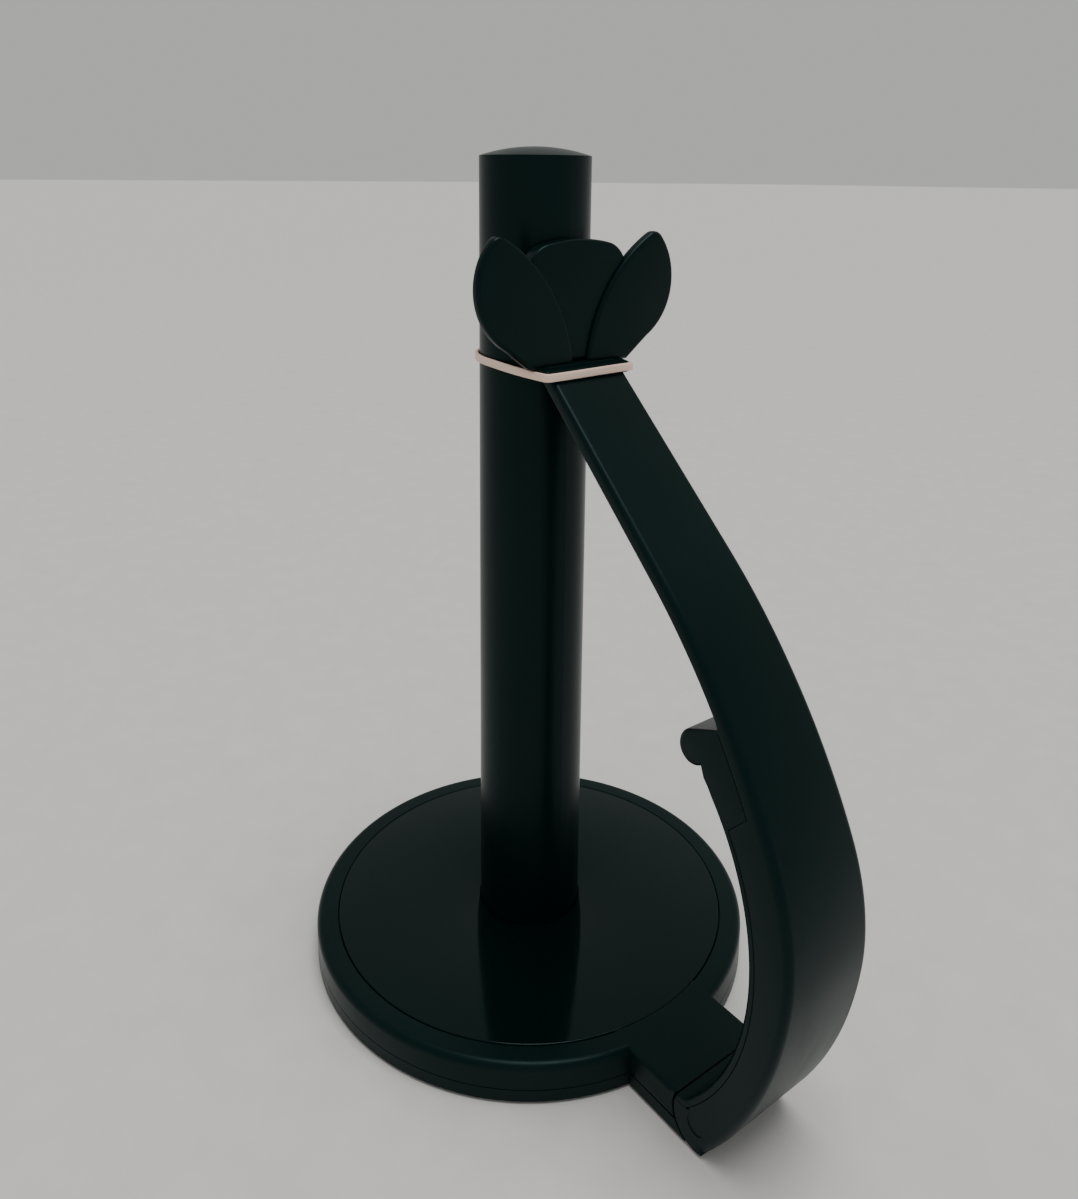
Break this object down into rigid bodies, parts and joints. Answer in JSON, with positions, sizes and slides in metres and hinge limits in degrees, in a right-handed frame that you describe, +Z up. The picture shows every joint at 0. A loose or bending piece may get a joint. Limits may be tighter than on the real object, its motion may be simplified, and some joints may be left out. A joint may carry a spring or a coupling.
{
  "type": "paper towel holder",
  "caption": "Free-standing paper towel holder: weighted round base, thick post, and a sprung bowed arm with a petal-shaped head that holds the loose sheet.",
  "frame": {"origin": "the post's axis at table level, on the underside of the centre pad", "axes": "+Z up along the post, +X from the post toward the arm's foot, +Y to the left of the arm seen from the post"},
  "size_m": [0.2213, 0.1646, 0.3007],
  "materials": {
    "satin_plastic": "satin, near-black with a slight green-grey tint",
    "gloss_plastic": "high gloss",
    "cast_iron": "as cast",
    "zinc_steel": "zinc plated",
    "spring_steel": "drawn wire",
    "rubber": "matte",
    "nylon": "matte, natural",
    "latex": "matte, pink-beige"
  },
  "bodies": {
    "stand": {"base_shell": "satin_plastic", "deck_plate": "gloss_plastic", "ballast_ring": "cast_iron", "bottom_cover": "satin_plastic", "cover_screws": "zinc_steel", "centre_pad": "rubber", "foot_pad_1": "rubber", "foot_pad_2": "rubber", "foot_pad_3": "rubber", "foot_pad_4": "rubber", "foot_pad_5": "rubber", "post_tube": "satin_plastic", "post_cap": "satin_plastic", "post_foot_plug": "nylon", "post_bolt": "zinc_steel", "bolt_washer": "zinc_steel", "hinge_bracket": "nylon", "bracket_screws": "zinc_steel", "hinge_bush_left": "nylon", "hinge_bush_right": "nylon", "torsion_spring": "spring_steel", "rubber_band": "latex"},
    "arm": {"hinge_pin": "spring_steel", "pin_cap_left": "satin_plastic", "pin_cap_right": "satin_plastic", "arm_shell": "satin_plastic", "arm_inner_cover": "satin_plastic", "arm_cover_screws": "zinc_steel", "petal_head": "satin_plastic", "head_screws": "zinc_steel"}
  },
  "joints": [
    {"name": "arm_hinge", "type": "hinge", "parent": "stand", "child": "arm", "pos_m": [0.1095, 0, 0.0102], "axis": [0, 1, 0], "range_deg": [0, 28], "stiffness_Nm_per_rad": 1.2, "springref_deg": -14.32, "deforming": ["torsion_spring", "rubber_band"]}
  ]
}
